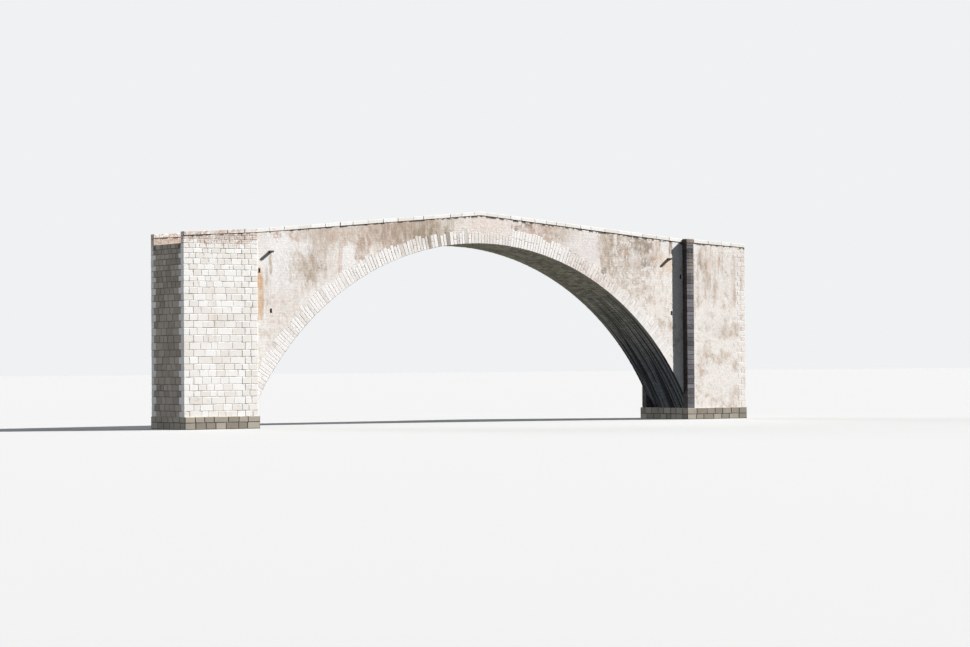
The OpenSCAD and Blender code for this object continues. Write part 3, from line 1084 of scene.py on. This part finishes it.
def lay_soffit():
    """Stones under the vault, in strips side by side that follow the curve."""
    stones = Stones()
    inner_y = FACE_Y - RING_W
    turn = VOUSSOIR_JOINT / 2 / SOFFIT_R
    for y0, y1 in pairs(np.linspace(-inner_y, inner_y, VAULT_STRIPS + 1)):
        worn = dice.uniform(0.6, 1.4)
        for a, b in pairs(cut_up(-HALF_ANGLE, HALF_ANGLE, *VOUSSOIR_TURNS)):
            middle = (a + b) / 2
            gap = STRIP_JOINT / 2 + worn * STRIP_WEAR * (abs(middle) / HALF_ANGLE) ** 3
            stones.lay(
                lambda angle, y: arc_point(angle, SOFFIT_R, y), (a + turn, b - turn), (y0 + gap, y1 - gap),
                (-math.sin(middle), 0, -math.cos(middle)), SKIN, 0.012)
    masonry_piece("soffit_stones", stones, SOFFIT_CUT, SOFFIT_STONE)


# Spandrels and parapets

RUBBLE = Bond((1.1, 2.3), RUBBLE_JOINT, SKIN, under_render)
INNER_RUBBLE = Bond((1.2, 2.4), RUBBLE_JOINT, SKIN, 0.005)
# Heights of the courses, from the foot to the head of a wall
SPANDREL_COURSES = (0.14, 0.10)
# Gap under the coping, where its bed has washed out
WASHED_OUT = 0.012
PARAPET_TOP = TO_COPING - WASHED_OUT
PARAPET_COURSES = (0.09, 0.15)


def recesses(spandrel):
    """Holes in the face of a spandrel, as x and z ranges, read from the corners of its inner walls."""
    found = []
    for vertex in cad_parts[spandrel].data.vertices:
        x, y, z = vertex.co
        if not FACE_Y - 0.4 < abs(y) < FACE_Y - 0.05:
            continue
        near = [hole for hole in found if abs(x - hole[0]) < 0.3 and abs(z - hole[2]) < 0.4]
        if near:
            x0, x1, z0, z1 = near[0]
            near[0][:] = min(x0, x), max(x1, x), min(z0, z), max(z1, z)
        else:
            found.append([x, x, z, z])
    return found


def lay_spandrel(end, face):
    """Coursed rubble between the arch stones and the road, clear of the spout and the weep holes."""
    where = side_name(face, end)
    holes = [
        sorted((end * x0, end * x1)) + [z0, z1] for x0, x1, z0, z1 in recesses("spandrel_" + where)]
    rows = courses(spandrel_low.z, spandrel_high.z, *SPANDREL_COURSES)
    stones = lay_courses(
        along_wall(end, face * FACE_Y), (0, face, 0), rows, (0, PIER_X), RUBBLE,
        floor=lambda x: arc_height(x, SOFFIT_R + SHORT_VOUSSOIR), roof=lambda x: road(x) - PAVING,
        holes=holes)
    masonry_piece("spandrel_stones_" + where, stones, RUBBLE_CUT, WALL_STONE[end])


def lay_parapet(end, face):
    """Both sides of a parapet, its inner side past the pier, and the step between the two."""
    wing_x, wing_y = WING_X[end], APPROACH_Y[end]
    outer = (RUBBLE, RUBBLE_CUT, WALL_STONE[end])
    inner = (INNER_RUBBLE, INNER_CUT, PARAPET_STONE)

    def lay_side(part, place, outward, stations, low, bond, cut, stone):
        rows = pairs(cut_up(low, PARAPET_TOP, *PARAPET_COURSES))
        stones = lay_courses(place, outward, rows, stations, bond)
        masonry_piece(part + "_stones_" + side_name(face, end), stones, cut, stone)

    def on_road(y):
        return lambda x, rise: (end * x, face * y, road(x) + rise)

    def on_step(y, rise):
        return (end * wing_x, face * y, road(wing_x) + rise)

    lay_side("parapet_outer", on_road(FACE_Y), (0, face, 0), (0, PIER_X), -PAVING, *outer)
    lay_side("parapet_inner", on_road(ROAD_Y), (0, -face, 0), (0, wing_x), 0.0, *inner)
    lay_side("wing_inner", on_road(wing_y), (0, -face, 0), (wing_x, END_X), 0.0, *inner)
    if wing_y - ROAD_Y > PARAPET_T / 2:
        step = (INNER_RUBBLE, STEP_CUT, PARAPET_STONE)
        lay_side("parapet_step", on_step, (end, 0, 0), (ROAD_Y, wing_y), 0.0, *step)


# Piers, wing walls and end walls

ASHLAR = Bond((1.1, 2.1), ASHLAR_JOINT, SKIN, 0.009, tight=0.5)
END_RUBBLE = Bond((1.1, 2.2), ASHLAR_JOINT, SKIN, 0.008)
# Heights of the courses at the foot and at the head; at the left they only shrink near the head
LEFT_COURSES = (0.28, 0.15, 5)
RIGHT_WING_COURSES = (0.14, 0.10)
RIGHT_PIER_COURSES = (0.24, 0.15)
PIER_BLOCKS = (0.22, 0.38)
# How far every second block of a left pier is bonded into its wing wall
TOOTH = 0.14
# Share of the courses of a right pier that are one block
WHOLE_ODDS = 0.45
QUOIN_LONG = 0.44
QUOIN_SHORT = 0.25


def wall_courses(first, last, bend=1):
    """Courses from the plinth to the coping."""
    return courses(PLINTH_TOP, road(PIER_X) + TO_COPING, first, last, bend)


def tooth(end, row):
    return TOOTH if end == LEFT and row % 2 else 0


def lay_pier(end, face, rows):
    """Whole blocks up a pier, so that they also show on the side of the opening."""
    stones = Stones()
    g = ASHLAR_JOINT / 2
    for row, (low, high) in enumerate(rows):
        stop = WING_X[end] + tooth(end, row)
        ends = cut_up(PIER_X - 0.008, stop + 0.004, *PIER_BLOCKS)
        if end == RIGHT and dice.uniform() < WHOLE_ODDS:
            ends = ends[[0, -1]]
        for a, b in pairs(ends):
            sides = (a + g * (a > PIER_X), b - g * (b < stop))
            heights = (low + g, min(high, road(b) + TO_COPING) - g)
            stones.lay(
                along_wall(end, face * PIER_Y[end]), sides, heights, (0, face, 0),
                PIER_Y[end] - FACE_Y + 0.02, 0.008)
    stone = WING_STONE if end == LEFT else PIER_STONE
    masonry_piece("pier_blocks_" + side_name(face, end), stones, PIER_CUT, stone)


def quoin(index):
    """Length along the bridge and across it of a corner block, turned about each time."""
    return (QUOIN_LONG, QUOIN_SHORT) if index % 2 else (QUOIN_SHORT, QUOIN_LONG)


def lay_corner(end, face, rows, rise, stone):
    """Corner blocks, each as high as rise courses."""
    stones = Stones()
    g = ASHLAR_JOINT / 2
    level = road(END_X)
    for first in range(0, len(rows), rise):
        low, high = rows[first][0], rows[min(first + rise, len(rows)) - 1][1]
        top = min(high, level + TO_COPING)
        if top - low < THINNEST:
            continue
        along, across = quoin(first // rise)
        across = across if high <= level else min(across, PARAPET_T)
        stones.lay(
            along_wall(end, face * WING_Y[end]), (END_X - along + g, END_X + 0.008),
            (low + g, top - g), (0, face, 0), across, PROUD)
    masonry_piece("corner_blocks_" + side_name(face, end), stones, CORNER_CUT, stone)


def lay_wing_end(end, rows):
    """Blocks on both wing walls and the end wall, on the same courses, with corner blocks."""
    dressed = end == LEFT
    bond, chamfer, stone = (ASHLAR, 0.009, WING_STONE) if dressed else (RUBBLE, 0.003, WALL_STONE[RIGHT])
    rise = 1 if dressed else 2
    wide = WING_Y[end]
    for face in FACES:
        stones = lay_courses(
            along_wall(end, face * wide), (0, face, 0), rows,
            lambda row: (WING_X[end] + tooth(end, row), END_X - quoin(row // rise)[0]), bond,
            roof=lambda x: road(x) + TO_COPING)
        name = "wing_blocks_" + side_name(face, end)
        masonry_piece(name, stones, (PLAIN, chamfer, 0.005), stone)
        lay_corner(end, face, rows, rise, stone)
    stones = lay_courses(
        across_wall(end * END_X), (end, 0, 0), rows,
        lambda row: (-wide + quoin(row // rise)[1], wide - quoin(row // rise)[1]), END_RUBBLE,
        roof=lambda y: road(END_X))
    name = "end_wall_stones_" + END_NAMES[end]
    masonry_piece(name, stones, END_CUT, ABUTMENT_STONE)


# How far the ledge stones stand over the core of the plinth
LEDGE_RISE = 0.014
LEDGE_DEPTH = 0.46
PLINTH_DEPTH = 0.12
PLINTH_COURSES = (0.22, 0.28)
PLINTH_BLOCKS = (0.35, 0.6)


def lay_plinth(end):
    """Two courses of blocks round a plinth; those on the side of the opening are deep and make its ledge."""
    stones = Stones()
    g = ASHLAR_JOINT / 2
    wide = PLINTH_Y[end]
    for low, high in pairs(cut_up(0.0, PLINTH_TOP, *PLINTH_COURSES)):
        high += LEDGE_RISE if high > 0.9 * PLINTH_TOP else 0
        walls = [
            (across_wall(end * PLINTH_X), -wide, wide, (-end, 0, 0), LEDGE_DEPTH),
            (across_wall(end * END_X), -wide, wide, (end, 0, 0), PLINTH_DEPTH)]
        walls += [
            (along_wall(end, face * wide), PLINTH_X, END_X, (0, face, 0), PLINTH_DEPTH)
            for face in FACES]
        for place, start, stop, outward, depth in walls:
            for a, b in pairs(cut_up(start, stop, *PLINTH_BLOCKS)):
                stones.lay(place, (a + g, b - g), (low + g, high), outward, depth, 0.004)
    masonry_piece("plinth_blocks_" + END_NAMES[end], stones, PLINTH_CUT, PLINTH_STONE)


# Coping, crown stones and pier heads

SLAB_LENGTHS = (0.5, 0.85)
SLAB_GAP = 0.003
SLAB_CHAMFER = 0.013


def lay_coping(name, end, x0, x1, y0, y1, loose, replaced):
    """Coping slabs from x0 to x1 that follow the road; loose is how unevenly they lie."""
    stones = Stones()
    for a, b in pairs(cut_up(x0, x1, *SLAB_LENGTHS)):
        shift = dice.uniform(-loose, loose)
        drop = dice.uniform(0, loose)
        stones.lay(
            lambda x, y: (end * x, y + shift, road(x) + TO_TOP - drop),
            (a + SLAB_GAP, b - SLAB_GAP), (y0, y1), (0, 0, 1), COPING_H - drop, 0.0)
    piece = masonry_piece(name, stones, (WHOLE, SLAB_CHAMFER, loose), COPING_STONE)
    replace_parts(piece, replaced)


def lay_copings(end, face):
    """The slabs on a parapet and on the wing wall past it."""
    where = side_name(face, end)
    loose = 0.009 if end == LEFT else 0.003
    near, far = sorted((face * (ROAD_Y - LIP), face * (FACE_Y + LIP)))
    lay_coping("coping_slabs_" + where, end, CROWN_HALF, PIER_X - LIP, near, far, loose, "coping_" + where)
    near, far = sorted((face * (APPROACH_Y[end] - LIP), face * (WING_Y[end] + LIP)))
    lay_coping(
        "wing_coping_slabs_" + where, end, WING_X[end] + LIP, END_X, near, far, loose,
        "wing_coping_" + where)


def block_of(low, high):
    """A bmesh block from its lowest to its highest corner."""
    bm = bmesh.new()
    bmesh.ops.create_cube(bm, size=1.0)
    bmesh.ops.scale(bm, vec=Vector(high) - Vector(low), verts=bm.verts[:])
    bmesh.ops.translate(bm, vec=(Vector(high) + Vector(low)) / 2, verts=bm.verts[:])
    return bm


def soften(bm, width, sharper_than):
    """Rounds every edge that turns more than an angle."""
    edges = [e for e in bm.edges if e.calc_face_angle(0) > sharper_than]
    bmesh.ops.bevel(
        bm, geom=edges, offset=width, offset_type="OFFSET", segments=2, profile=0.5,
        affect="EDGES", material=-1)


def mesh_of(name, bm):
    mesh = bpy.data.meshes.new(name)
    bm.to_mesh(mesh)
    bm.free()
    return mesh


def carved_piece(name, bm, material, replaced):
    """Makes a finished bmesh the piece that stands for a part."""
    bmesh.ops.recalc_face_normals(bm, faces=bm.faces[:])
    mesh = mesh_of(name, bm)
    tones = np.full(len(mesh.vertices), dice.uniform(0.4, 0.9))
    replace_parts(finished(name, mesh, tones, material), replaced)


def crown_stone(face):
    """The bent coping stone over the crown, its top and underside drawn up to a ridge."""
    replaced = "crown_coping_" + FACE_NAMES[face]
    low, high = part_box(replaced)
    bent = HUMP_FALL / PIER_X * CROWN_HALF
    bm = block_of(low, (high.x, high.y, high.z - bent))
    across = [e for e in bm.edges if abs(e.verts[0].co.x - e.verts[1].co.x) > CROWN_HALF]
    bmesh.ops.subdivide_edges(bm, edges=across, cuts=1)
    ridge = [v for v in bm.verts if abs(v.co.x) < 0.01]
    bmesh.ops.translate(bm, vec=(0, 0, bent), verts=ridge)
    soften(bm, SLAB_CHAMFER, 0.5)
    carved_piece("crown_stone_" + FACE_NAMES[face], bm, COPING_STONE, replaced)


# How far the top of a right pier's head is worn in and down at its edges
WORN_IN = 0.06
WORN_DOWN = 0.03
HEAD_CHAMFER = 0.022


def pier_head(end, face):
    """The stone on a pier: a coping slab at the left, and at the right a worn head of the pier."""
    where = side_name(face, end)
    replaced = "pier_cap_" + where
    low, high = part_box(replaced)
    if end == LEFT:
        x0, x1 = PIER_X - LIP, WING_X[end] + LIP
        lay_coping("pier_head_" + where, end, x0, x1, low.y, high.y, 0.006, replaced)
        return
    bm = block_of(low, (high.x, high.y, high.z - WORN_DOWN))
    top = [f for f in bm.faces if f.normal.z > 0.9]
    bmesh.ops.inset_region(bm, faces=top, thickness=WORN_IN)
    bmesh.ops.translate(bm, vec=(0, 0, WORN_DOWN), verts=list({v for f in top for v in f.verts}))
    soften(bm, HEAD_CHAMFER, 1.0)
    carved_piece("pier_head_" + where, bm, CAP_STONE, replaced)


CHANNEL_W = 0.06
CHANNEL_D = 0.04
# How much the tip of a spout is cut back below
TIP_CUT = 0.035
SPOUT_CHAMFER = 0.004


def spout(end, face):
    """A stone trough, drawn as its section and drawn out from the wall, with its tip cut back below."""
    where = side_name(face, end)
    replaced = "spout_" + where
    low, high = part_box(replaced)
    seat, tip = (high.y, low.y) if face == FRONT else (low.y, high.y)
    middle = (low.x + high.x) / 2
    left, right = middle - CHANNEL_W / 2, middle + CHANNEL_W / 2
    bed = high.z - CHANNEL_D
    section = [
        (low.x, low.z), (high.x, low.z), (high.x, high.z), (right, high.z), (right, bed), (left, bed),
        (left, high.z), (low.x, high.z)]
    bm = bmesh.new()
    end_face = bm.faces.new([bm.verts.new((x, seat, z)) for x, z in section])
    drawn = bmesh.ops.extrude_face_region(bm, geom=[end_face])["geom"]
    outer = [v for v in drawn if isinstance(v, bmesh.types.BMVert)]
    bmesh.ops.translate(bm, vec=(0, tip - seat, 0), verts=outer)
    bmesh.ops.translate(bm, vec=(0, 0, TIP_CUT), verts=[v for v in outer if v.co.z < low.z + 0.01])
    bmesh.ops.recalc_face_normals(bm, faces=bm.faces[:])
    soften(bm, SPOUT_CHAMFER, 1.0)
    carved_piece("water_spout_" + where, bm, SPOUT_STONE, replaced)


# Roadway

COBBLE_GAP = 0.006
COBBLE_ROWS = (0.10, 0.14)
COBBLE_WIDTHS = (0.10, 0.17)


def lay_cobbles(end):
    """Cobbles in rows across the road, wider past the piers."""
    stones = Stones()
    g = COBBLE_GAP
    for x0, x1, half in ((0, WING_X[end], ROAD_Y), (WING_X[end], END_X, APPROACH_Y[end])):
        below = ()
        for a, b in pairs(cut_up(x0, x1, *COBBLE_ROWS)):
            below = cut_up(-half, half, *COBBLE_WIDTHS, below)
            for y0, y1 in pairs(below):
                stones.lay(
                    lambda x, y: (end * x, y, road(x)), (a + g, b - g), (y0 + g, y1 - g), (0, 0, 1),
                    SKIN, 0.004)
    masonry_piece("cobbles_" + END_NAMES[end], stones, COBBLE_CUT, ROAD_STONE)


lay_soffit()
for face in FACES:
    lay_voussoirs(face)
    crown_stone(face)
for end in ENDS:
    wing_rows = wall_courses(*(LEFT_COURSES if end == LEFT else RIGHT_WING_COURSES))
    pier_rows = wing_rows if end == LEFT else wall_courses(*RIGHT_PIER_COURSES)
    lay_plinth(end)
    lay_wing_end(end, wing_rows)
    lay_cobbles(end)
    for face in FACES:
        lay_spandrel(end, face)
        lay_parapet(end, face)
        lay_pier(end, face, pier_rows)
        lay_copings(end, face)
        pier_head(end, face)
        spout(end, face)


# Floor, light and camera

FLOOR_HALF = 600
# Colours of the floor and the sky as they light the bridge, and the paler ones that the camera sees
FLOOR_SHADE = (0.06, 0.06, 0.06, 1)
FLOOR_SEEN = (0.53, 0.53, 0.525, 1)
SKY_SHADE = (0.45, 0.72, 1.0, 1)
SKY_SEEN = (0.87, 0.88, 0.89, 1)
SKY_STRENGTH = 0.10
SUN_STRENGTH = 7.4
REAR_STRENGTH = 1.5
GLOW_POWER = 75


def seen_by_camera(tree):
    """One for what the camera sees, also in a reflection, and nothing for the light on the bridge."""
    rays = node("LightPath", tree=tree).outputs
    return (Level(rays["Is Camera Ray"]) + Level(rays["Is Glossy Ray"])).held()


def make_floor():
    bm = bmesh.new()
    bmesh.ops.create_grid(bm, x_segments=1, y_segments=1, size=FLOOR_HALF)
    floor = put("floor", mesh_of("floor", bm))
    material = bpy.data.materials.new("pale_floor")
    material.use_nodes = True
    shader = material.node_tree.nodes["Principled BSDF"]
    shader.inputs["Roughness"].default_value = 1.0
    join(mixed(seen_by_camera(material.node_tree), FLOOR_SHADE, FLOOR_SEEN), shader.inputs["Base Color"])
    floor.data.materials.append(material)


# Directions in which the light travels: the sun, from the shadows of the pier and the spouts,
# and a softer light on the rear and the left end
SUNLIGHT = Vector((-1.2, 0.6, -0.97))
REAR_LIGHT = Vector((0.45, -0.9, -0.3))


def make_sun(name, direction, strength, width, tint):
    light = bpy.data.lights.new(name, "SUN")
    light.energy = strength
    light.angle = math.radians(width)
    light.color = tint
    put(name, light).rotation_euler = direction.to_track_quat("-Z", "Y").to_euler()


def make_glow_from_below():
    """Soft light on the underside of the arch, as bright ground throws it there."""
    light = bpy.data.lights.new("glow_from_below", "AREA")
    light.shape = "RECTANGLE"
    light.size = SOFFIT_R
    light.size_y = 2 * ROAD_Y
    light.energy = GLOW_POWER
    glow = put("glow_from_below", light)
    glow.location = (0, 0, PLINTH_TOP / 10)
    glow.rotation_euler = (math.pi, 0, 0)
    glow.visible_camera = False
    glow.visible_glossy = False


def make_sky():
    world = bpy.data.worlds.new("soft_sky")
    world.use_nodes = True
    tree = world.node_tree
    tree.nodes.clear()
    soft = node("Background", tree=tree, Color=SKY_SHADE, Strength=SKY_STRENGTH)
    pale = node("Background", tree=tree, Color=SKY_SEEN, Strength=1.0)
    shaders = [Level(background.outputs[0]) for background in (soft, pale)]
    chosen = node("MixShader", seen_by_camera(tree), *shaders)
    node("OutputWorld", Level(chosen.outputs[0]))
    bpy.context.scene.world = world


# Where the camera stands, and how it is turned and zoomed
CAMERA_PLACE = Vector((-65.43, -100.19, 2.61))
CAMERA_YAW = math.radians(33.606)
CAMERA_PITCH = math.radians(0.845)
CAMERA_ROLL = math.radians(-0.390)
FOCAL_PIXELS = 2720
PHOTO_WIDTH = 970
FURTHEST_SEEN = 2000


def make_camera():
    data = bpy.data.cameras.new("camera")
    data.sensor_width = 36
    data.lens = data.sensor_width * FOCAL_PIXELS / PHOTO_WIDTH
    data.clip_end = FURTHEST_SEEN
    camera = put("camera", data)
    aim = Matrix.Rotation(-CAMERA_YAW, 4, "Z") @ Matrix.Rotation(math.pi / 2 + CAMERA_PITCH, 4, "X")
    camera.matrix_world = Matrix.Translation(CAMERA_PLACE) @ aim @ Matrix.Rotation(CAMERA_ROLL, 4, "Z")
    bpy.context.scene.camera = camera


make_floor()
make_sun("sun", SUNLIGHT, SUN_STRENGTH, 1.0, (1.0, 0.985, 0.965))
make_sun("rear_light", REAR_LIGHT, REAR_STRENGTH, 30, (0.95, 0.97, 1.0))
make_glow_from_below()
make_sky()
make_camera()
bpy.context.scene.view_settings.view_transform = "Standard"
